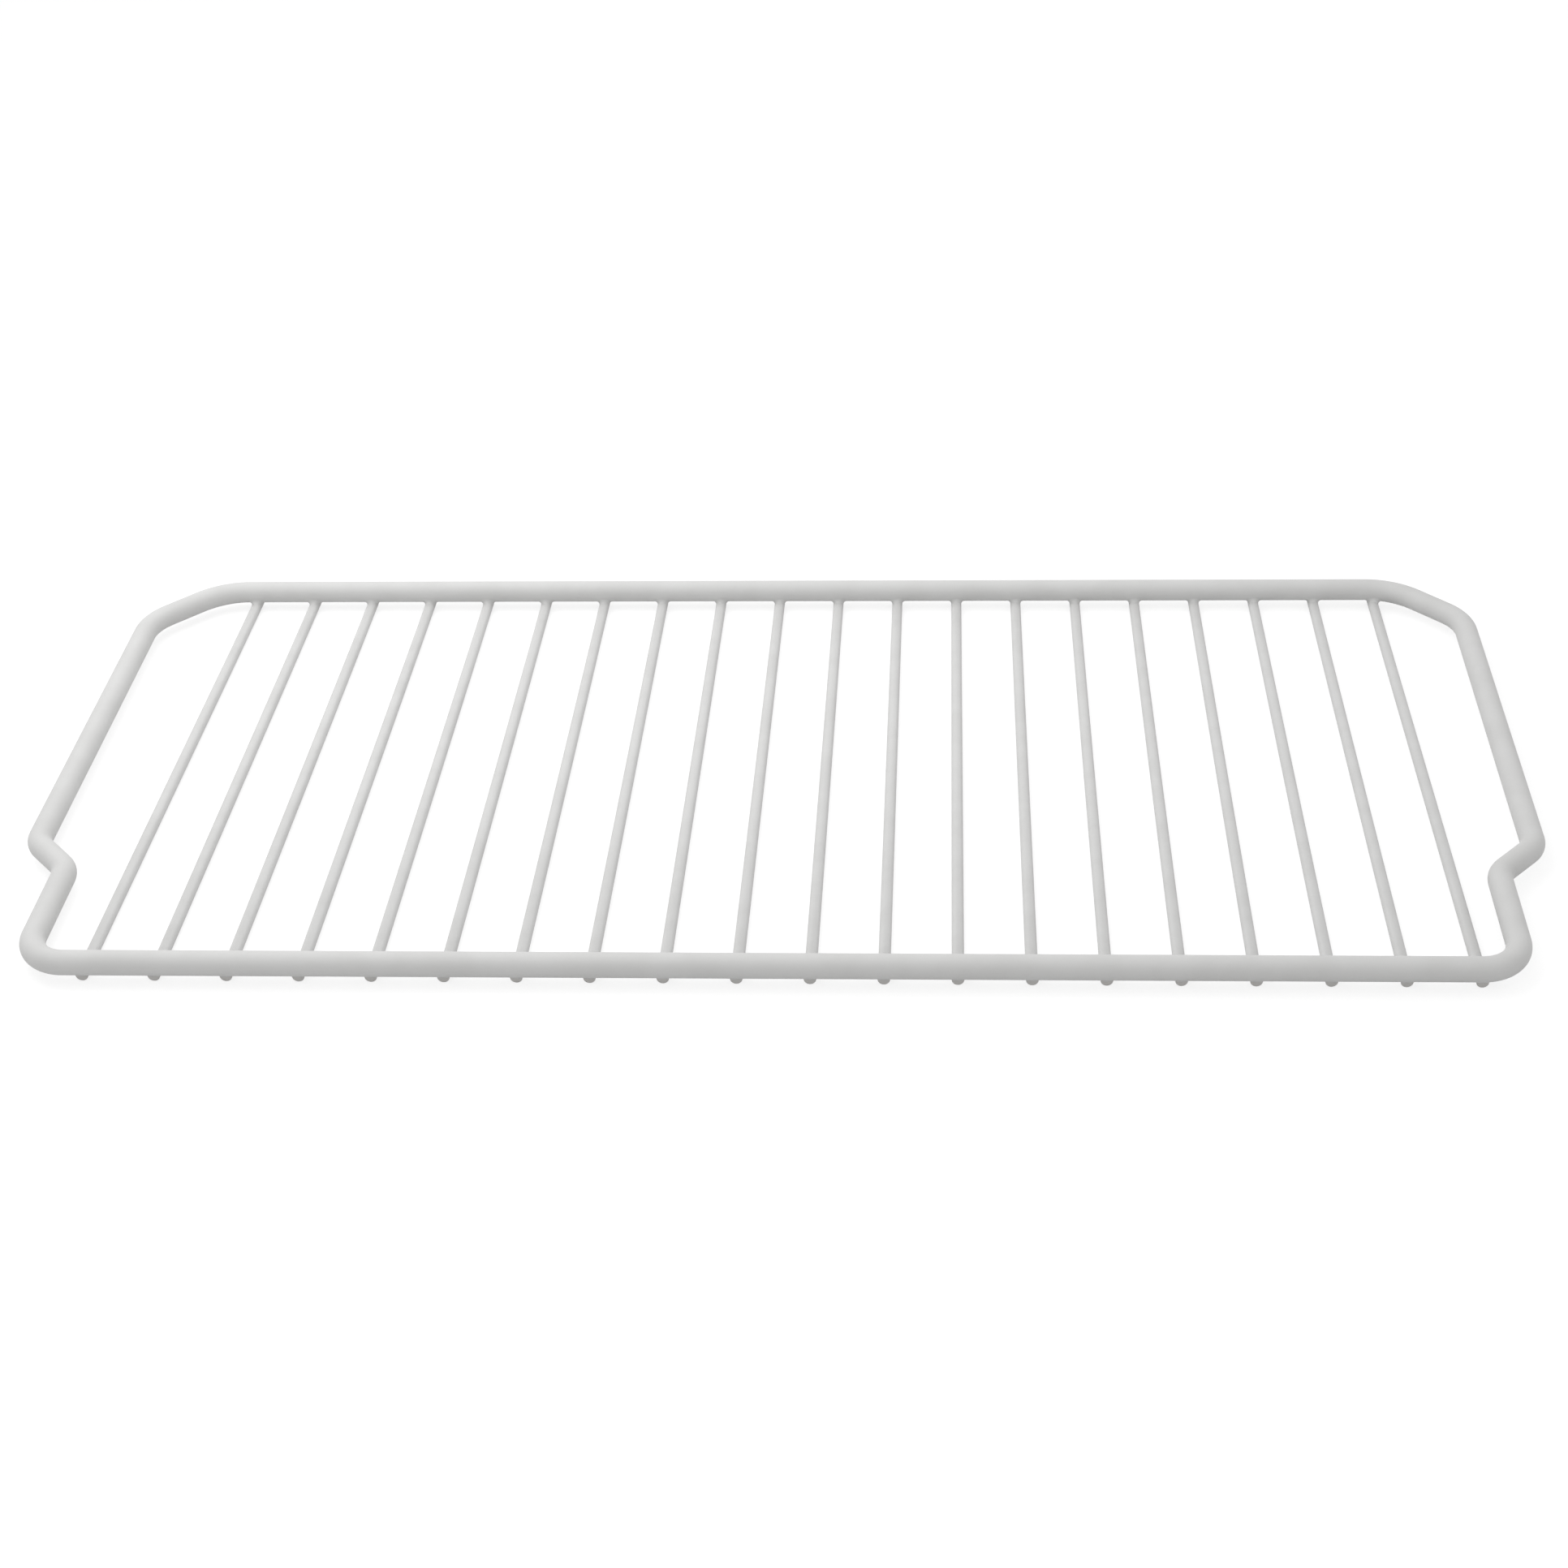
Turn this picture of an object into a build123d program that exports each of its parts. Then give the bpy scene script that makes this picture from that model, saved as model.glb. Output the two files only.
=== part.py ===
from build123d import *
import math
import os

# Wire rack: a bent rod frame with thin wires welded under its front and rear rails.
# Millimetres and degrees. X runs along the rails, Y from front to rear, Z up.
# The origin is at the middle of the rack, at the level of the wires' undersides.
# All diameters are measured over the plastic coating.

# Overall frame, measured over the rod: the width of the front rail, and the depth
front_width = 414.0
frame_depth = 203.0
rod_diameter = 7.0

# Sides: the angle by which each leans out towards the rear
side_lean = 1.0

# Shoulders: each side steps out behind the front rail
step_inset = 12.5
step_setback = 41.0
step_angle = 45.0

# Rear corners, cut off by the same distance along the side and along the rear rail
corner_cut = 20.0

# Bend radii, measured on the inside of each bend
front_bend_radius = 8.0
step_bend_radius = 5.0
side_bend_radius = 12.5
rear_bend_radius = 19.0

# Cross wires: the margin runs from a front corner's side to the nearest wire, axis to axis,
# the overhang from a rail's axis to the wire's end, and the sink is how deep the weld sets
# each wire into the rail
wire_count = 20
wire_diameter = 3.4
wire_end_margin = 13.5
wire_field_shift = 2.5
wire_overhang = 1.0
weld_sink = 1.2

# Sections and levels that follow from the sizes above
rod_radius = rod_diameter / 2
wire_radius = wire_diameter / 2
wire_z = wire_radius
rail_z = wire_z + wire_radius + rod_radius - weld_sink

# Axes of the rails, and the corners of the right side from front to rear
rear_y = frame_depth / 2 - rod_radius
front_y = -rear_y
step_front_y = front_y + step_setback
step_rear_y = step_front_y + step_inset / math.tan(math.radians(step_angle))
side_rear_y = rear_y - corner_cut
lean_rate = math.tan(math.radians(side_lean))
front_x = front_width / 2 - rod_radius
step_front_x = front_x + lean_rate * step_setback
step_rear_x = step_front_x + step_inset
side_rear_x = step_rear_x + lean_rate * (side_rear_y - step_rear_y)

# Spacing and length of the cross wires
wire_span = 2 * (front_x - wire_end_margin)
wire_pitch = wire_span / (wire_count - 1)
wire_length = rear_y - front_y + 2 * wire_overhang


def perimeter_frame():
    """One rod, bent flat to a closed outline."""
    right_corners = [
        (front_x, front_y),
        (step_front_x, step_front_y),
        (step_rear_x, step_rear_y),
        (side_rear_x, side_rear_y),
        (side_rear_x - corner_cut, rear_y),
    ]
    right_bends = [
        front_bend_radius,
        step_bend_radius,
        step_bend_radius,
        side_bend_radius,
        rear_bend_radius,
    ]
    left_corners = [(-x, y) for x, y in reversed(right_corners)]
    corners = [(x, y, rail_z) for x, y in right_corners + left_corners]
    axis_radii = [rod_radius + bend for bend in right_bends + right_bends[::-1]]
    axis_line = FilletPolyline(*corners, radius=axis_radii, close=True)
    section = Plane(origin=axis_line @ 0, z_dir=axis_line % 0) * Circle(rod_radius)
    return sweep(section, path=axis_line)


def cross_wire(x, frame):
    """One straight wire, seated in a saddle under each rail."""
    bar = Location((x, 0, wire_z), (90, 0, 0)) * Cylinder(wire_radius, wire_length)
    return bar - frame


os.makedirs("parts", exist_ok=True)

frame = perimeter_frame()
export_step(frame, "parts/perimeter_frame.step")

for number in range(1, wire_count + 1):
    x = wire_field_shift - wire_span / 2 + (number - 1) * wire_pitch
    export_step(cross_wire(x, frame), f"parts/cross_wire_{number:02d}.step")
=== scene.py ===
"""Wire rack: a bent rod frame with welded cross wires, all under one white plastic coating."""

import math

import bmesh
import bpy
from bpy.props import FloatProperty, FloatVectorProperty, PointerProperty
from mathutils import Matrix, Vector


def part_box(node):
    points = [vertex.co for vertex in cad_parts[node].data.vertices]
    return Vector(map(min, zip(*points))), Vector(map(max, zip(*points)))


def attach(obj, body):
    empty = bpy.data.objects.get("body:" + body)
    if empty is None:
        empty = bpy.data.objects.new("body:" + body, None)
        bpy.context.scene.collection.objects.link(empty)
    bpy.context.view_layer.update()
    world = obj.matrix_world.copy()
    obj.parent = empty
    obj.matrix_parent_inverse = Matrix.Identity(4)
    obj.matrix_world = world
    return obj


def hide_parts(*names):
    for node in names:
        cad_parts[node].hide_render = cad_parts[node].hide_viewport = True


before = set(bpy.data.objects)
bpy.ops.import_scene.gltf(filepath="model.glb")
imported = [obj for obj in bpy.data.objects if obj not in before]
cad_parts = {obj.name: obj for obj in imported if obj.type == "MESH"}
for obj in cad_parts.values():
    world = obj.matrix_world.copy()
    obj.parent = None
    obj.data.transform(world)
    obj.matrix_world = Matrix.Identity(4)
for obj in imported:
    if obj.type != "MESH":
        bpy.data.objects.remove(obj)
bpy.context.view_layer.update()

bl_info = {
    "name": "Wire Rack",
    "version": (1, 0, 0),
    "blender": (4, 5, 0),
    "location": "3D View > Sidebar > Wire Rack",
    "description": "Coated rod frame, cross wires, welded joints and a studio stage for a wire rack",
    "category": "Object",
}

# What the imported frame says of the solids, in metres
FRAME_LOW, FRAME_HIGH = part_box("perimeter_frame")
WIRE_NODES = sorted(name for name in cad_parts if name.startswith("cross_wire"))
BODY = "root"

# How finely round sections, bends, wire ends, saddles and fillets are divided
ROD_SIDES = 48
WIRE_SIDES = 32
BEND_STEP = math.radians(3.75)
FEWEST_BEND_STEPS = 2
END_STEPS = 5
SADDLE_CUTS = 12
FILLET_STATIONS = 40
FILLET_STEPS = 8

# Points nearer than this, in metres, are one point
JOIN_GAP = 2e-6

# Halvings that find where the ball of a fillet touches both surfaces
BISECTIONS = 40

# Edges that turn more than this stay sharp
SHARP_EDGE = math.radians(50)

# A bevel profile that is part of a circle
ROUND_PROFILE = 0.5

# Decimals of a metre that a wire's place is rounded to
PLACE_DECIMALS = 4

# The steps and the cut rear corners lie halfway between the rails and the sides
DIAGONAL = math.radians(45)
RIGHT_ANGLE = math.radians(90)

# The middle part of a noise that is stretched from 0 to 1, and the noises' detail
PATCH_RANGE = (0.35, 0.70)
RIPPLE_RANGE = (0.30, 0.70)
PATCH_DETAIL = 4.0
RIPPLE_DETAIL = 2.0

# Patches and ripples on the rod and on the thin wires, as a share of their stated sizes
ROD_GRAIN = 1.0
WIRE_GRAIN = 0.7

# Plain light of the studio
WHITE_LIGHT = (1, 1, 1, 1)

# The camera's sensor in millimetres, and the nearest that it sees in metres
SENSOR_WIDTH = 36.0
NEAREST_SEEN = 0.01

# The smallest length that a user may set, in metres
SMALLEST_LENGTH = 0.0001


def length(name, description, default):
    """A size in metres that a user may change."""
    return FloatProperty(
        name=name, description=description, default=default, min=SMALLEST_LENGTH,
        unit="LENGTH", precision=4,
    )


def share(name, description, default):
    """A value from 0 to 1 that a user may change."""
    return FloatProperty(
        name=name, description=description, default=default, min=0.0, max=1.0, subtype="FACTOR"
    )


def colour(name, description, default):
    """A plain colour that a user may change."""
    return FloatVectorProperty(
        name=name, description=description, default=default, min=0.0, max=1.0, subtype="COLOR"
    )


def angle(name, description, degrees):
    """An angle that a user may change."""
    return FloatProperty(
        name=name, description=description, default=math.radians(degrees), subtype="ANGLE"
    )


class RackSizes(bpy.types.PropertyGroup):
    """Sizes of the rod, its bends, the wires and the coating at the welds."""

    rod_diameter: length("Rod diameter", "Frame rod, measured over its coating", 0.0070)
    front_width: length("Front width", "Width of the front rail, measured over the rod", 0.4140)
    side_lean: angle("Side lean", "How far each side leans out towards the rear", 1.0)
    step_inset: length("Step inset", "How far each side steps out behind the front rail", 0.0125)
    step_setback: length("Step setback", "From the front rail to the step, axis to corner", 0.0410)
    corner_cut: length("Corner cut", "Length cut off each rear corner, along both rails", 0.0200)
    front_bend: length("Front bend", "Inside radius of the front corners", 0.0080)
    step_bend: length("Step bend", "Inside radius of both bends of a step", 0.0050)
    side_bend: length("Side bend", "Inside radius between a side and a cut corner", 0.0125)
    rear_bend: length("Rear bend", "Inside radius between a cut corner and the rear rail", 0.0190)
    wire_diameter: length("Wire diameter", "Cross wire, measured over its coating", 0.0034)
    weld_sink: length("Weld sink", "How deep the weld sets each wire into a rail", 0.0012)
    end_rounding: length("End rounding", "Radius of the coating round a wire's cut end", 0.0003)
    fillet_radius: length("Weld fillet", "Hollow radius of the coating at a weld", 0.0010)


class RackCoating(bpy.types.PropertyGroup):
    """Colours and surface of the plastic coating."""

    white: colour("White", "Main colour of the coating", (0.74, 0.739, 0.732))
    shade: colour("Shade", "Colour where the coating is thin", (0.65, 0.647, 0.637))
    # End colour of the wires: partly the tint of the thin coating over the cut ends, partly painted
    # shade, as the rounded ends turn down and away from the light
    end_tint_and_painted_shade: colour("End shade", "Colour over the cut ends of the wires", (0.70, 0.685, 0.665))
    unevenness: share("Unevenness", "How much the shade colour shows in patches", 0.35)
    patch_size: length("Patch size", "Width of a patch of thinner coating", 0.0120)
    peel_size: length("Peel size", "Width of one ripple of the surface", 0.0013)
    peel_height: length("Peel height", "Height of the ripples of the surface", 0.0001)
    peel_strength: share("Peel strength", "How strongly the ripples turn the light", 0.35)
    smooth_roughness: share("Smooth roughness", "Roughness where the coating flowed out", 0.50)
    dull_roughness: share("Dull roughness", "Roughness where the coating is dull", 0.62)
    gloss: share("Gloss", "Strength of the coating's reflections", 0.30)


class RackStage(bpy.types.PropertyGroup):
    """Camera, lamps and floor."""

    camera_place: FloatVectorProperty(
        name="Camera place", description="Where the camera stands",
        default=(0.04957, -0.56262, 0.40190),
        subtype="TRANSLATION", unit="LENGTH", precision=4,
    )
    camera_yaw: angle("Camera yaw", "Turn of the camera to the left", 3.0105)
    camera_pitch: angle("Camera pitch", "Tilt of the camera below the horizon", 35.8045)
    camera_roll: angle("Camera roll", "Tilt of the camera's right side downwards", 1.6824)
    lens: FloatProperty(
        name="Lens", description="Focal length", default=51.912, min=1.0, unit="CAMERA"
    )
    lens_shift: FloatProperty(
        name="Lens shift", description="Sideways shift of the picture, as a share of its width",
        default=-0.04272,
    )
    sky: share("Sky", "Brightness of the even light from all round", 0.64)
    softbox_power: FloatProperty(
        name="Softbox power", description="Power of the large lamp", default=1.15, min=0.0, unit="POWER"
    )
    softbox_place: FloatVectorProperty(
        name="Softbox place", description="Where the large lamp hangs", default=(-0.20, 0.14, 0.44),
        subtype="TRANSLATION", unit="LENGTH", precision=3,
    )
    softbox_size: length("Softbox size", "Side of the large lamp", 0.50)
    floor_colour: colour("Floor colour", "The floor as the rack sees it", (0.66, 0.66, 0.66))
    shadow_strength: share("Shadow strength", "How strongly the floor shows a shadow", 0.38)
    floor_size: length("Floor size", "Side of the square floor", 8.0)


class RackPlan:
    """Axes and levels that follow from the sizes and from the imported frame."""

    def __init__(self, sizes):
        self.rod_radius = sizes.rod_diameter / 2
        self.wire_radius = sizes.wire_diameter / 2
        self.wire_z = self.wire_radius
        self.rail_z = sizes.wire_diameter + self.rod_radius - sizes.weld_sink
        self.front_y = FRAME_LOW.y + self.rod_radius
        self.rear_y = FRAME_HIGH.y - self.rod_radius
        step_front_y = self.front_y + sizes.step_setback
        step_rear_y = step_front_y + sizes.step_inset / math.tan(DIAGONAL)
        side_rear_y = self.rear_y - sizes.corner_cut
        lean_rate = math.tan(sizes.side_lean)
        front_x = sizes.front_width / 2 - self.rod_radius
        step_front_x = front_x + lean_rate * sizes.step_setback
        step_rear_x = step_front_x + sizes.step_inset
        side_rear_x = step_rear_x + lean_rate * (side_rear_y - step_rear_y)
        rear_x = side_rear_x - sizes.corner_cut
        front_radius = sizes.front_bend + self.rod_radius
        step_radius = sizes.step_bend + self.rod_radius
        rear_radius = sizes.rear_bend + self.rod_radius
        self.corners = [
            (self.level(front_x, self.front_y), front_radius),
            (self.level(step_front_x, step_front_y), step_radius),
            (self.level(step_rear_x, step_rear_y), step_radius),
            (self.level(side_rear_x, side_rear_y), sizes.side_bend + self.rod_radius),
            (self.level(rear_x, self.rear_y), rear_radius),
        ]
        front_bend_x = front_x - front_radius * math.tan((RIGHT_ANGLE - sizes.side_lean) / 2)
        rear_bend_x = rear_x - rear_radius * math.tan(DIAGONAL / 2)
        self.front_rail = RailAxis(
            self.front_y, self.front_y + front_radius, front_bend_x, front_radius, self.rail_z
        )
        self.rear_rail = RailAxis(
            self.rear_y, self.rear_y - rear_radius, rear_bend_x, rear_radius, self.rail_z
        )

    def level(self, x, y):
        """A point at the level of the rails' axes."""
        return Vector((x, y, self.rail_z))


class RailAxis:
    """The axis of a straight rail and of the bend at each of its ends."""

    def __init__(self, rail_y, centre_y, bend_x, bend_radius, rail_z):
        self.rail_y = rail_y
        self.centre_y = centre_y
        self.bend_x = bend_x
        self.bend_radius = bend_radius
        self.rail_z = rail_z

    def away(self, point):
        """The way from the nearest point of the axis to a point."""
        rise = Vector((0, 0, point.z - self.rail_z))
        if abs(point.x) <= self.bend_x:
            return Vector((0, point.y - self.rail_y, 0)) + rise
        spoke = Vector((point.x - math.copysign(self.bend_x, point.x), point.y - self.centre_y, 0))
        return spoke.normalized() * (spoke.length - self.bend_radius) + rise

    def y_at(self, x):
        """Where the axis passes a wire."""
        beyond = max(abs(x) - self.bend_x, 0)
        drop = self.bend_radius - math.sqrt(self.bend_radius**2 - beyond**2)
        return self.rail_y + math.copysign(drop, self.centre_y - self.rail_y)


class CrossWire:
    """Where one cross wire lies, read from its node."""

    def __init__(self, node, plan, sizes):
        low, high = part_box(node)
        self.x = round((low.x + high.x) / 2, PLACE_DECIMALS)
        self.front_end = low.y
        self.rear_end = high.y
        self.z = plan.wire_z
        self.radius = plan.wire_radius
        self.rounding = sizes.end_rounding

    def away(self, point):
        """The way to a point from the wire's core, which is the wire less its end rounding."""
        along = min(max(point.y, self.front_end + self.rounding), self.rear_end - self.rounding)
        across = Vector((point.x - self.x, 0, point.z - self.z))
        core_radius = self.radius - self.rounding
        if across.length > core_radius:
            across = across.normalized() * core_radius
        return point - Vector((self.x, along, self.z)) - across


def finish_piece(name, bm, material, *nodes):
    """Closes a mesh, makes it an object of the rack and hides the solids that it stands for."""
    bmesh.ops.remove_doubles(bm, verts=bm.verts[:], dist=JOIN_GAP)
    bmesh.ops.recalc_face_normals(bm, faces=bm.faces[:])
    if bm.calc_volume(signed=True) < 0:
        bmesh.ops.reverse_faces(bm, faces=bm.faces[:])
    open_edges = [edge for edge in bm.edges if len(edge.link_faces) != 2]
    if open_edges:
        raise RuntimeError(f"{name} has {len(open_edges)} open edges")
    mesh = bpy.data.meshes.new(name)
    bm.to_mesh(mesh)
    bm.free()
    mesh.shade_smooth()
    mesh.set_sharp_from_angle(angle=SHARP_EDGE)
    mesh.materials.append(material)
    piece = bpy.data.objects.new(name, mesh)
    bpy.context.scene.collection.objects.link(piece)
    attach(piece, BODY)
    if nodes:
        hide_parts(*nodes)


def everything(bm):
    """All points, edges and faces of a mesh."""
    return bm.verts[:] + bm.edges[:] + bm.faces[:]


def verts_of(parts):
    """The points among the parts that an operation made."""
    return [part for part in parts if isinstance(part, bmesh.types.BMVert)]


def open_ring(parts):
    """The edges among the parts that have a face on one side only."""
    edges = [part for part in parts if isinstance(part, bmesh.types.BMEdge)]
    return [edge for edge in edges if len(edge.link_faces) == 1]


def run_rod(bm, ring, step):
    """Draws the end ring of a rod straight on."""
    made = bmesh.ops.extrude_edge_only(bm, edges=ring)["geom"]
    bmesh.ops.translate(bm, verts=verts_of(made), vec=step)
    return open_ring(made)


def bend_rod(bm, ring, centre, turn):
    """Bends the end ring of a rod round an upright axis."""
    steps = max(FEWEST_BEND_STEPS, round(abs(turn) / BEND_STEP))
    ends = list({vert for edge in ring for vert in edge.verts})
    made = bmesh.ops.spin(
        bm, geom=ends + ring, cent=centre, axis=(0, 0, 1), angle=turn, steps=steps, use_merge=False
    )
    return open_ring(made["geom_last"])


def bent_frame(plan):
    """The right half of the frame, bent from one rod, and its mirror image."""
    bm = bmesh.new()
    place = plan.level(0, plan.front_y)
    rear_middle = plan.level(0, plan.rear_y)
    heading = Vector((1, 0, 0))
    facing = heading.to_track_quat("Z", "Y").to_matrix().to_4x4()
    bmesh.ops.create_circle(
        bm, segments=ROD_SIDES, radius=plan.rod_radius, matrix=Matrix.Translation(place) @ facing
    )
    ring = bm.edges[:]
    targets = [corner for corner, _ in plan.corners[1:]] + [rear_middle]
    for (corner, radius), target in zip(plan.corners, targets):
        onward = (target - corner).normalized()
        turn = math.atan2(heading.cross(onward).z, heading.dot(onward))
        setback = radius * math.tan(abs(turn) / 2)
        bend_start = corner - heading * setback
        left = Vector((-heading.y, heading.x, 0))
        ring = run_rod(bm, ring, bend_start - place)
        ring = bend_rod(bm, ring, bend_start + left * math.copysign(radius, turn), turn)
        place = corner + onward * setback
        heading = onward
    run_rod(bm, ring, rear_middle - place)
    bmesh.ops.mirror(bm, geom=everything(bm), axis="X", merge_dist=JOIN_GAP)
    return bm


def straight_wire(wire, plan):
    """One wire with rounded ends, seated under both rails."""
    bm = bmesh.new()
    middle = Vector((wire.x, (wire.front_end + wire.rear_end) / 2, wire.z))
    lying = Matrix.Translation(middle) @ Matrix.Rotation(RIGHT_ANGLE, 4, "X")
    bmesh.ops.create_cone(
        bm, cap_ends=True, segments=WIRE_SIDES, radius1=wire.radius, radius2=wire.radius,
        depth=wire.rear_end - wire.front_end, matrix=lying,
    )
    rims = [edge for edge in bm.edges if abs(edge.verts[0].co.y - edge.verts[1].co.y) < JOIN_GAP]
    bmesh.ops.bevel(
        bm, geom=rims, offset=wire.rounding, segments=END_STEPS, profile=ROUND_PROFILE, affect="EDGES"
    )
    for rail in (plan.front_rail, plan.rear_rail):
        cut_saddle_rings(bm, wire, rail, plan)
    for vert in bm.verts:
        for rail in (plan.front_rail, plan.rear_rail):
            if rail.away(vert.co).length < plan.rod_radius:
                vert.co = point_under_rail(vert.co.x, vert.co.y, rail, plan.rod_radius)
    return bm


def cut_saddle_rings(bm, wire, rail, plan):
    """Cuts rings into a wire where a rail sits in it."""
    axis_height = plan.rail_z - wire.z - wire.radius
    reach = math.sqrt(plan.rod_radius**2 - axis_height**2)
    for number in range(SADDLE_CUTS + 1):
        y = rail.y_at(wire.x) + reach * (2 * number / SADDLE_CUTS - 1)
        if wire.front_end + wire.rounding < y < wire.rear_end - wire.rounding:
            bmesh.ops.bisect_plane(
                bm, geom=everything(bm), dist=JOIN_GAP, plane_co=(0, y, 0), plane_no=(0, 1, 0)
            )


def point_under_rail(x, y, rail, reach):
    """The point straight under a place on a rail that lies at reach from the rail's axis."""
    level = rail.away(Vector((x, y, rail.rail_z)))
    drop = math.sqrt(max(reach**2 - level.length_squared, 0))
    return Vector((x, y, rail.rail_z - drop))


def fillet_section(wire, rail, plan, radius, bearing):
    """One section of the coating round a weld, as a ball rolled along wire and rail leaves it."""
    reach = plan.rod_radius + radius
    rail_y = rail.y_at(wire.x)
    end_y = wire.front_end if rail is plan.front_rail else wire.rear_end

    # Bearings are taken from the middle between the wire's end and the inner side of the rail
    centre_y = rail_y + math.copysign(reach, -rail_y) / 2 + (end_y - rail_y) / 2

    # The ball touches the rail from below, and it moves out until it only just touches the wire
    near = 0.0
    far = 2 * reach
    for _ in range(BISECTIONS):
        out = (near + far) / 2
        x = wire.x + out * math.cos(bearing)
        y = centre_y + out * math.sin(bearing)
        ball = point_under_rail(x, y, rail, reach)
        beyond_rail = rail.away(Vector((x, y, rail.rail_z))).length > reach
        if beyond_rail or wire.away(ball).length > wire.rounding + radius:
            far = out
        else:
            near = out

    # The root is where the tangent planes at both touching points meet
    to_wire = -wire.away(ball).normalized()
    to_rail = -rail.away(ball).normalized()
    hollow = [to_wire.slerp(to_rail, step / FILLET_STEPS) for step in range(FILLET_STEPS + 1)]
    root = (to_wire + to_rail) / (1 + to_wire.dot(to_rail))
    return [ball + way * radius for way in hollow + [root]]


def weld_fillet(bm, wire, rail, plan, radius):
    """The coating all round one weld, drawn on from section to section until it closes."""
    sections = [
        fillet_section(wire, rail, plan, radius, 2 * math.pi * number / FILLET_STATIONS)
        for number in range(FILLET_STATIONS)
    ]
    loop = bmesh.ops.create_circle(bm, segments=len(sections[0]), radius=radius)["verts"]
    for vert, point in zip(loop, sections[0]):
        vert.co = point
    for section in sections[1:] + sections[:1]:
        edges = [bm.edges.get((loop[i - 1], loop[i])) for i in range(len(loop))]
        made = bmesh.ops.extrude_edge_only(bm, edges=edges)["geom"]
        fresh = set(verts_of(made))
        loop = [
            next(edge.other_vert(vert) for edge in vert.link_edges if edge.other_vert(vert) in fresh)
            for vert in loop
        ]
        for vert, point in zip(loop, section):
            vert.co = point


def opaque(tint):
    """A colour with full alpha, as a colour socket takes it."""
    return (*tint, 1)


def new_node(tree, kind, **settings):
    """A shader node with its settings."""
    node = tree.nodes.new(kind)
    for name, value in settings.items():
        setattr(node, name, value)
    return node


def new_group(name, inputs, outputs):
    """An empty shader node group with named sockets."""
    group = bpy.data.node_groups.new(name, "ShaderNodeTree")
    for socket, kind in inputs:
        group.interface.new_socket(name=socket, in_out="INPUT", socket_type=kind)
    for socket, kind in outputs:
        group.interface.new_socket(name=socket, in_out="OUTPUT", socket_type=kind)
    return group, group.nodes.new("NodeGroupInput"), group.nodes.new("NodeGroupOutput")


def noise(tree, position, size, detail):
    """A soft noise whose waves have the given size."""
    scale = new_node(tree, "ShaderNodeMath", operation="DIVIDE")
    scale.inputs[0].default_value = 1.0
    texture = new_node(tree, "ShaderNodeTexNoise", noise_dimensions="3D")
    texture.inputs["Detail"].default_value = detail
    tree.links.new(size, scale.inputs[1])
    tree.links.new(scale.outputs[0], texture.inputs["Scale"])
    tree.links.new(position, texture.inputs["Vector"])
    return texture.outputs["Fac"]


def spread(tree, value, low, high):
    """Stretches the middle of a noise over the range from 0 to 1."""
    node = new_node(tree, "ShaderNodeMapRange", interpolation_type="SMOOTHSTEP")
    node.inputs["From Min"].default_value = low
    node.inputs["From Max"].default_value = high
    tree.links.new(value, node.inputs["Value"])
    return node.outputs["Result"]


def multiply(tree, first, second):
    """The product of two values."""
    node = new_node(tree, "ShaderNodeMath", operation="MULTIPLY")
    tree.links.new(first, node.inputs[0])
    tree.links.new(second, node.inputs[1])
    return node.outputs[0]


def colour_mixer(tree, factor, first):
    """A mix from one colour to a second one: the socket of the second, and the mixed colour."""
    node = new_node(tree, "ShaderNodeMix", data_type="RGBA")
    sockets = {socket.identifier: socket for socket in [*node.inputs, *node.outputs]}
    tree.links.new(factor, sockets["Factor_Float"])
    tree.links.new(first, sockets["A_Color"])
    return sockets["B_Color"], sockets["Result_Color"]


def coating_tone_group(name):
    """Patches of thicker and thinner coating, as a colour."""
    group, given, result = new_group(
        name,
        [
            ("Position", "NodeSocketVector"),
            ("White", "NodeSocketColor"),
            ("Shade", "NodeSocketColor"),
            ("Patch Size", "NodeSocketFloat"),
            ("Unevenness", "NodeSocketFloat"),
        ],
        [("Colour", "NodeSocketColor")],
    )
    patches = noise(group, given.outputs["Position"], given.outputs["Patch Size"], PATCH_DETAIL)
    amount = multiply(group, spread(group, patches, *PATCH_RANGE), given.outputs["Unevenness"])
    thin, toned = colour_mixer(group, amount, given.outputs["White"])
    group.links.new(given.outputs["Shade"], thin)
    group.links.new(toned, result.inputs["Colour"])
    return group


def coating_peel_group(name):
    """The ripples of a dipped coating, as a height and a roughness."""
    group, given, result = new_group(
        name,
        [
            ("Position", "NodeSocketVector"),
            ("Peel Size", "NodeSocketFloat"),
            ("Smooth Roughness", "NodeSocketFloat"),
            ("Dull Roughness", "NodeSocketFloat"),
        ],
        [("Height", "NodeSocketFloat"), ("Roughness", "NodeSocketFloat")],
    )
    ripples = noise(group, given.outputs["Position"], given.outputs["Peel Size"], RIPPLE_DETAIL)
    dulling = new_node(group, "ShaderNodeMapRange")
    dulling.inputs["From Min"].default_value = RIPPLE_RANGE[0]
    dulling.inputs["From Max"].default_value = RIPPLE_RANGE[1]
    group.links.new(ripples, dulling.inputs["Value"])
    group.links.new(given.outputs["Smooth Roughness"], dulling.inputs["To Min"])
    group.links.new(given.outputs["Dull Roughness"], dulling.inputs["To Max"])
    group.links.new(ripples, result.inputs["Height"])
    group.links.new(dulling.outputs["Result"], result.inputs["Roughness"])
    return group


def placed_group(tree, name, build):
    """A node group that is built once, placed in a material."""
    group = bpy.data.node_groups.get(name) or build(name)
    return new_node(tree, "ShaderNodeGroup", node_tree=group)


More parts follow.
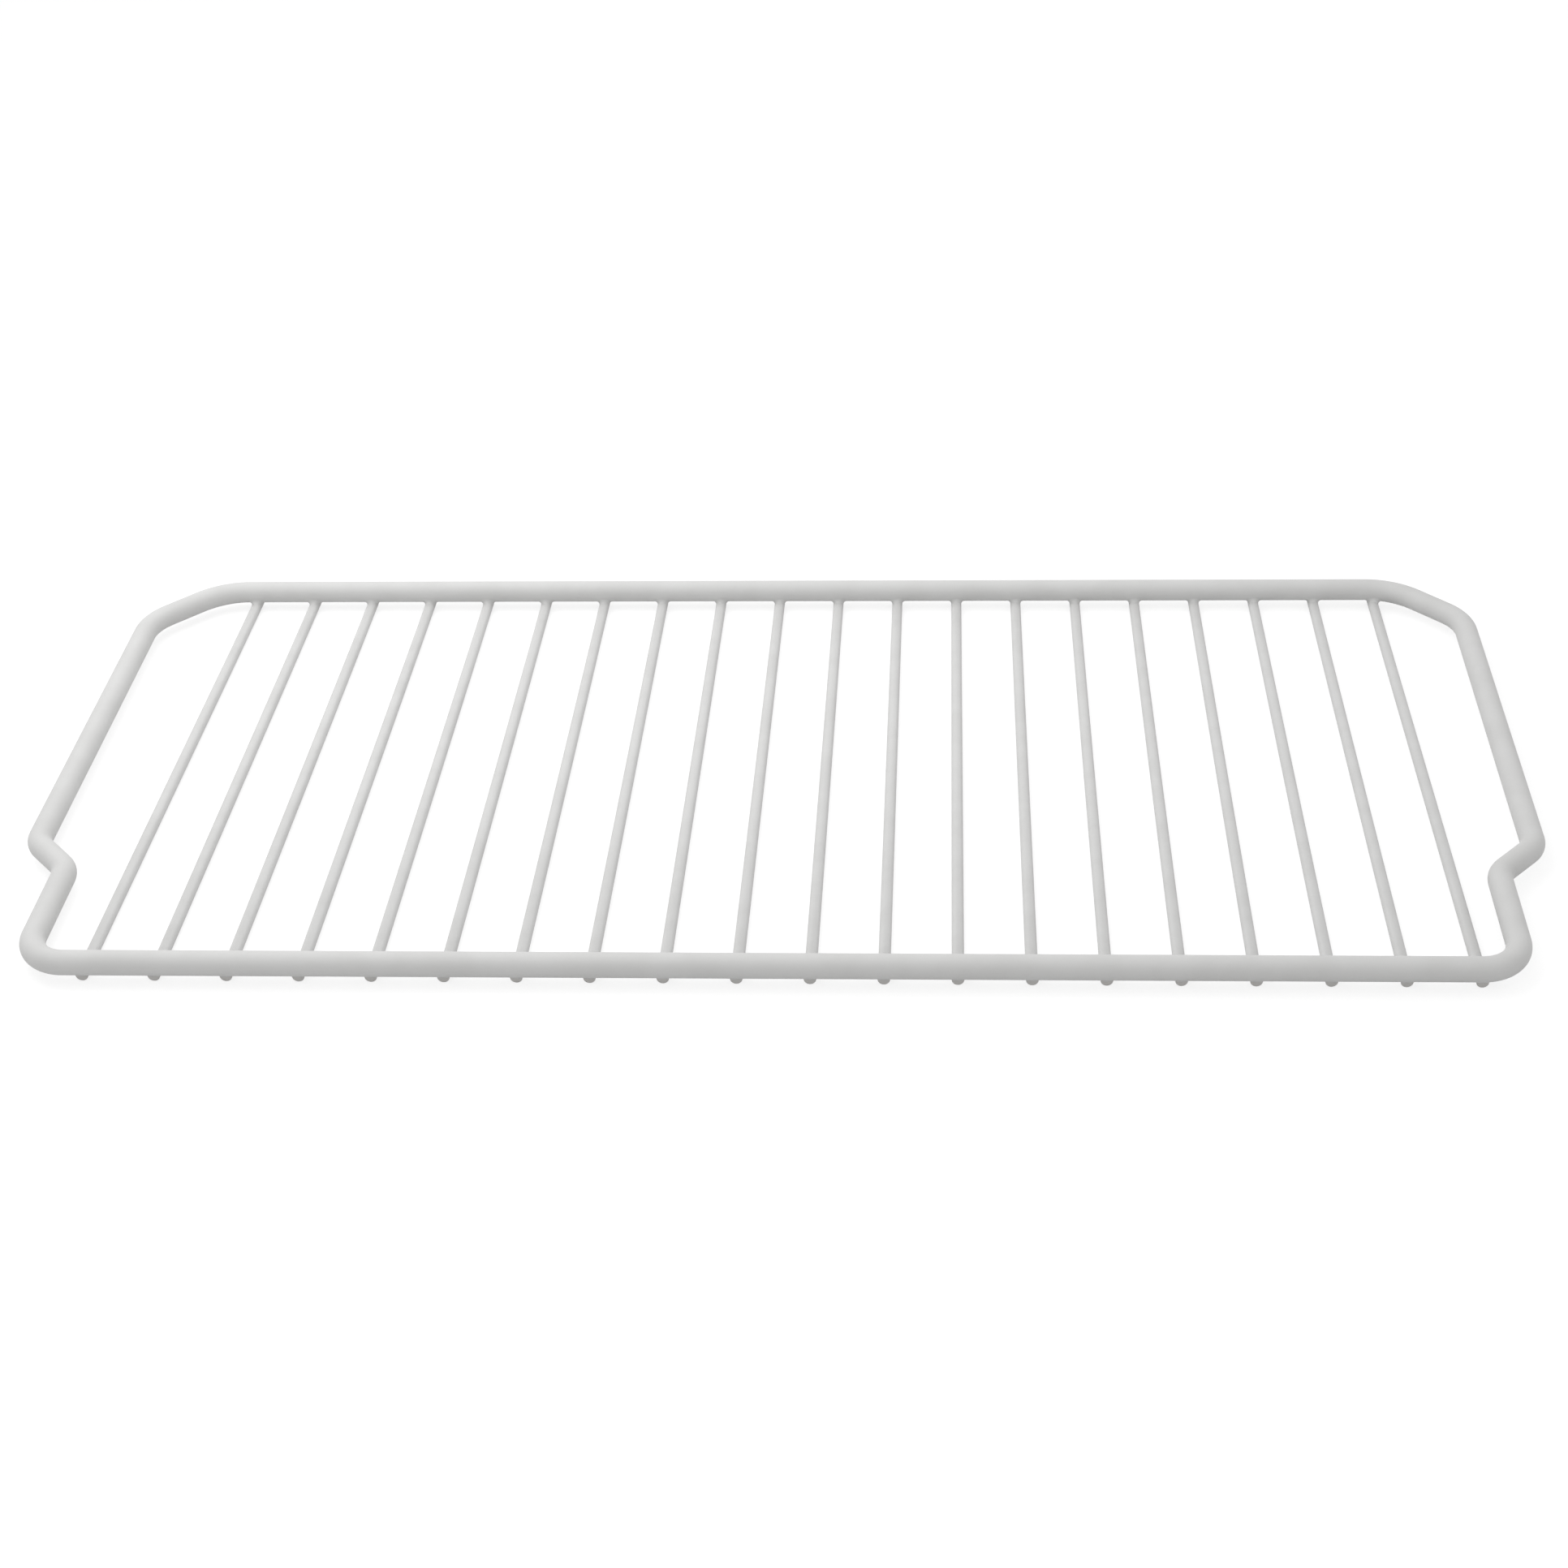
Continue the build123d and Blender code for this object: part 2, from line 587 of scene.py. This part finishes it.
def end_tint_and_shade_mask(tree, position, rounding):
    """A mask that rises over the rounding at both ends of the wires, where the end tint and its painted
    shade go.
    """
    parts = new_node(tree, "ShaderNodeSeparateXYZ")
    from_middle = new_node(tree, "ShaderNodeMath", operation="ABSOLUTE")
    tree.links.new(position, parts.inputs[0])
    tree.links.new(parts.outputs["Y"], from_middle.inputs[0])
    wire_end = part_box(WIRE_NODES[0])[1].y
    return spread(tree, from_middle.outputs[0], wire_end - rounding, wire_end)


def coating_material(name, look, grain, end_rounding=None):
    """White satin coating with its patches and ripples, and on the wires darker cut ends: partly a tint
    of the thin coating there, partly painted shade.
    """
    material = bpy.data.materials.new(name)
    material.use_nodes = True
    tree = material.node_tree
    shader = tree.nodes["Principled BSDF"]
    position = new_node(tree, "ShaderNodeTexCoord").outputs["Object"]

    tone = placed_group(tree, "Coating tone", coating_tone_group)
    tone.inputs["White"].default_value = opaque(look.white)
    tone.inputs["Shade"].default_value = opaque(look.shade)
    tone.inputs["Patch Size"].default_value = look.patch_size * grain
    tone.inputs["Unevenness"].default_value = look.unevenness
    tree.links.new(position, tone.inputs["Position"])
    coat = tone.outputs["Colour"]
    # Darker, warmer cut ends: partly the thin coating over the cut, partly painted shade of ends that
    # turn away from the light
    if end_rounding:
        end, coat = colour_mixer(tree, end_tint_and_shade_mask(tree, position, end_rounding), coat)
        end.default_value = opaque(look.end_tint_and_painted_shade)
    tree.links.new(coat, shader.inputs["Base Color"])
    shader.inputs["Specular IOR Level"].default_value = look.gloss

    peel = placed_group(tree, "Coating peel", coating_peel_group)
    peel.inputs["Peel Size"].default_value = look.peel_size * grain
    peel.inputs["Smooth Roughness"].default_value = look.smooth_roughness
    peel.inputs["Dull Roughness"].default_value = look.dull_roughness
    tree.links.new(position, peel.inputs["Position"])
    tree.links.new(peel.outputs["Roughness"], shader.inputs["Roughness"])
    bump = new_node(tree, "ShaderNodeBump")
    bump.inputs["Strength"].default_value = look.peel_strength
    bump.inputs["Distance"].default_value = look.peel_height
    tree.links.new(peel.outputs["Height"], bump.inputs["Height"])
    tree.links.new(bump.outputs["Normal"], shader.inputs["Normal"])
    return material


class RACK_OT_coated_frame(bpy.types.Operator):
    """Bend the coated rod of the frame to its closed outline"""

    bl_idname = "rack.coated_frame"
    bl_label = "Coated Frame"

    def execute(self, context):
        plan = RackPlan(context.scene.rack_sizes)
        material = coating_material("frame_coating", context.scene.rack_coating, ROD_GRAIN)
        finish_piece("coated_frame", bent_frame(plan), material, "perimeter_frame")
        return {"FINISHED"}


class RACK_OT_coated_wires(bpy.types.Operator):
    """Lay the coated cross wires under the rails"""

    bl_idname = "rack.coated_wires"
    bl_label = "Coated Cross Wires"

    def execute(self, context):
        sizes = context.scene.rack_sizes
        plan = RackPlan(sizes)
        look = context.scene.rack_coating
        material = coating_material("wire_coating", look, WIRE_GRAIN, sizes.end_rounding)
        for node in WIRE_NODES:
            wire = CrossWire(node, plan, sizes)
            finish_piece(node.replace("cross", "coated"), straight_wire(wire, plan), material, node)
        return {"FINISHED"}


class RACK_OT_weld_fillets(bpy.types.Operator):
    """Fill the corners at the welds with coating"""

    bl_idname = "rack.weld_fillets"
    bl_label = "Weld Fillets"

    def execute(self, context):
        sizes = context.scene.rack_sizes
        plan = RackPlan(sizes)
        material = coating_material("weld_coating", context.scene.rack_coating, WIRE_GRAIN)
        wires = [CrossWire(node, plan, sizes) for node in WIRE_NODES]
        for name, rail in (("front", plan.front_rail), ("rear", plan.rear_rail)):
            bm = bmesh.new()
            for wire in wires:
                weld_fillet(bm, wire, rail, plan, sizes.fillet_radius)
            finish_piece(f"weld_fillets_{name}", bm, material)
        return {"FINISHED"}


def seen_directly(tree):
    """A mask for what the camera sees directly, in a reflection or through glass."""
    path = new_node(tree, "ShaderNodeLightPath")
    first = new_node(tree, "ShaderNodeMath", operation="MAXIMUM")
    both = new_node(tree, "ShaderNodeMath", operation="MAXIMUM")
    tree.links.new(path.outputs["Is Camera Ray"], first.inputs[0])
    tree.links.new(path.outputs["Is Glossy Ray"], first.inputs[1])
    tree.links.new(first.outputs[0], both.inputs[0])
    tree.links.new(path.outputs["Is Transmission Ray"], both.inputs[1])
    return both.outputs[0]


def stage_floor(stage):
    """A pale floor that looks white and keeps the rack's shadow."""
    bm = bmesh.new()
    bmesh.ops.create_grid(bm, x_segments=1, y_segments=1, size=stage.floor_size / 2)
    mesh = bpy.data.meshes.new("floor")
    bm.to_mesh(mesh)
    bm.free()
    material = bpy.data.materials.new("floor_paper")
    material.use_nodes = True
    tree = material.node_tree
    tree.nodes.remove(tree.nodes["Principled BSDF"])
    plain = new_node(tree, "ShaderNodeBsdfDiffuse")
    plain.inputs["Color"].default_value = opaque(stage.floor_colour)
    shadowed = new_node(tree, "ShaderNodeBsdfDiffuse")
    shadowed.inputs["Color"].default_value = opaque([stage.shadow_strength] * 3)
    white = new_node(tree, "ShaderNodeEmission")
    white.inputs["Strength"].default_value = 1 - stage.shadow_strength * stage.sky
    lit = new_node(tree, "ShaderNodeAddShader")
    both = new_node(tree, "ShaderNodeMixShader")
    tree.links.new(shadowed.outputs[0], lit.inputs[0])
    tree.links.new(white.outputs[0], lit.inputs[1])
    tree.links.new(seen_directly(tree), both.inputs[0])
    tree.links.new(plain.outputs[0], both.inputs[1])
    tree.links.new(lit.outputs[0], both.inputs[2])
    tree.links.new(both.outputs[0], tree.nodes["Material Output"].inputs["Surface"])
    mesh.materials.append(material)
    floor = bpy.data.objects.new("floor", mesh)
    bpy.context.scene.collection.objects.link(floor)


def stage_sky(stage):
    """Even light from all round, white where it is seen."""
    world = bpy.data.worlds.new("studio")
    world.use_nodes = True
    tree = world.node_tree
    even = tree.nodes["Background"]
    even.inputs["Color"].default_value = WHITE_LIGHT
    even.inputs["Strength"].default_value = stage.sky
    white = new_node(tree, "ShaderNodeBackground")
    white.inputs["Color"].default_value = WHITE_LIGHT
    both = new_node(tree, "ShaderNodeMixShader")
    tree.links.new(seen_directly(tree), both.inputs[0])
    tree.links.new(even.outputs[0], both.inputs[1])
    tree.links.new(white.outputs[0], both.inputs[2])
    tree.links.new(both.outputs[0], tree.nodes["World Output"].inputs["Surface"])
    bpy.context.scene.world = world


def stage_softbox(stage):
    """A large soft lamp, turned to the middle of the rack."""
    lamp = bpy.data.lights.new("softbox", "AREA")
    lamp.shape = "SQUARE"
    lamp.size = stage.softbox_size
    lamp.energy = stage.softbox_power
    softbox = bpy.data.objects.new("softbox", lamp)
    softbox.location = stage.softbox_place
    softbox.rotation_euler = (-Vector(stage.softbox_place)).to_track_quat("-Z", "Y").to_euler()
    bpy.context.scene.collection.objects.link(softbox)


def stage_camera(stage):
    """The camera at the angle of the photograph."""
    lens = bpy.data.cameras.new("camera")
    lens.sensor_fit = "HORIZONTAL"
    lens.sensor_width = SENSOR_WIDTH
    lens.lens = stage.lens
    lens.shift_x = stage.lens_shift
    lens.clip_start = NEAREST_SEEN
    camera = bpy.data.objects.new("camera", lens)
    camera.matrix_world = (
        Matrix.Translation(stage.camera_place)
        @ Matrix.Rotation(stage.camera_yaw, 4, "Z")
        @ Matrix.Rotation(RIGHT_ANGLE - stage.camera_pitch, 4, "X")
        @ Matrix.Rotation(-stage.camera_roll, 4, "Z")
    )
    bpy.context.scene.collection.objects.link(camera)
    bpy.context.scene.camera = camera


class RACK_OT_stage(bpy.types.Operator):
    """Set up the floor, the light and the camera"""

    bl_idname = "rack.stage"
    bl_label = "Studio Stage"

    def execute(self, context):
        stage = context.scene.rack_stage
        context.scene.view_settings.view_transform = "Standard"
        stage_floor(stage)
        stage_sky(stage)
        stage_softbox(stage)
        stage_camera(stage)
        return {"FINISHED"}


class RACK_PT_panel(bpy.types.Panel):
    """The rack's pieces, sizes and finish"""

    bl_label = "Wire Rack"
    bl_idname = "RACK_PT_panel"
    bl_space_type = "VIEW_3D"
    bl_region_type = "UI"
    bl_category = "Wire Rack"

    def draw(self, context):
        scene = context.scene
        for operator in OPERATORS:
            self.layout.operator(operator.bl_idname)
        for group in (scene.rack_sizes, scene.rack_coating, scene.rack_stage):
            column = self.layout.box().column()
            for name in group.__annotations__:
                column.prop(group, name)


OPERATORS = (RACK_OT_coated_frame, RACK_OT_coated_wires, RACK_OT_weld_fillets, RACK_OT_stage)
GROUPS = {"rack_sizes": RackSizes, "rack_coating": RackCoating, "rack_stage": RackStage}


def register():
    """Adds the rack's classes and values to Blender."""
    for kind in (*GROUPS.values(), *OPERATORS, RACK_PT_panel):
        bpy.utils.register_class(kind)
    for name, kind in GROUPS.items():
        setattr(bpy.types.Scene, name, PointerProperty(type=kind))


def unregister():
    """Takes the rack's classes and values out of Blender."""
    for name in GROUPS:
        delattr(bpy.types.Scene, name)
    for kind in (RACK_PT_panel, *reversed(OPERATORS), *reversed(GROUPS.values())):
        bpy.utils.unregister_class(kind)


def main():
    """Builds the stage and the rack."""
    register()
    bpy.ops.rack.stage()
    bpy.ops.rack.coated_frame()
    bpy.ops.rack.coated_wires()
    bpy.ops.rack.weld_fillets()


if __name__ == "__main__":
    main()
